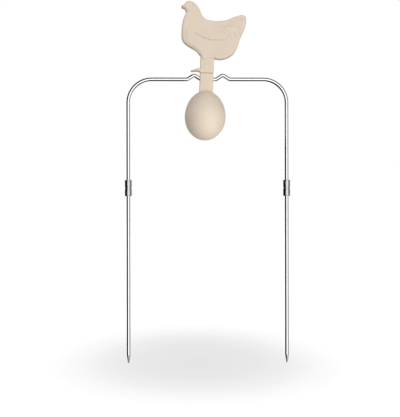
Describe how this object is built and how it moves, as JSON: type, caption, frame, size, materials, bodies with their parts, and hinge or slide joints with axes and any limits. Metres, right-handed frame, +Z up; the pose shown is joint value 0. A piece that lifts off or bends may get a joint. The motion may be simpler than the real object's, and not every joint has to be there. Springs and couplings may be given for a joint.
{
  "type": "spinner target",
  "caption": "Self-resetting spinner target: a flat moulded hen and a round egg counterweight turn on the crossbar of a wire hoop with pointed push-in stakes.",
  "frame": {"origin": "on the ground, midway between the points of the two stakes", "axes": "+X along the crossbar, away from the hen's beak; +Y through the thickness of the hen, the view is from -Y; +Z up"},
  "size_m": [0.2758, 0.068, 0.6014],
  "materials": {
    "bright_zinc_rod": "bright zinc plate",
    "satin_sleeve": "satin zinc plate, crimped",
    "plain_steel_tube": "plain steel",
    "tan_polymer": "matt, tan self-healing target polymer"
  },
  "bodies": {
    "frame": {"upper_hoop": "bright_zinc_rod", "left_sleeve": "satin_sleeve", "right_sleeve": "satin_sleeve"},
    "left_leg": {"left_stake": "bright_zinc_rod"},
    "right_leg": {"right_stake": "bright_zinc_rod"},
    "pivot": {"pivot_tube": "plain_steel_tube"},
    "target": {"hen_moulding": "tan_polymer", "egg_moulding": "tan_polymer"}
  },
  "joints": [
    {"name": "target_slide", "type": "slide", "parent": "frame", "child": "pivot", "axis": [1, 0, 0], "range_m": [0, 0.007]},
    {"name": "target_spin", "type": "hinge", "parent": "pivot", "child": "target", "pos_m": [-0.0018, 0, 0.472], "axis": [1, 0, 0], "continuous": true},
    {"name": "left_stake_pull", "type": "slide", "parent": "frame", "child": "left_leg", "axis": [0, 0, -1], "range_m": [0, 0.014]},
    {"name": "right_stake_pull", "type": "slide", "parent": "frame", "child": "right_leg", "axis": [0, 0, -1], "range_m": [0, 0.014]}
  ]
}
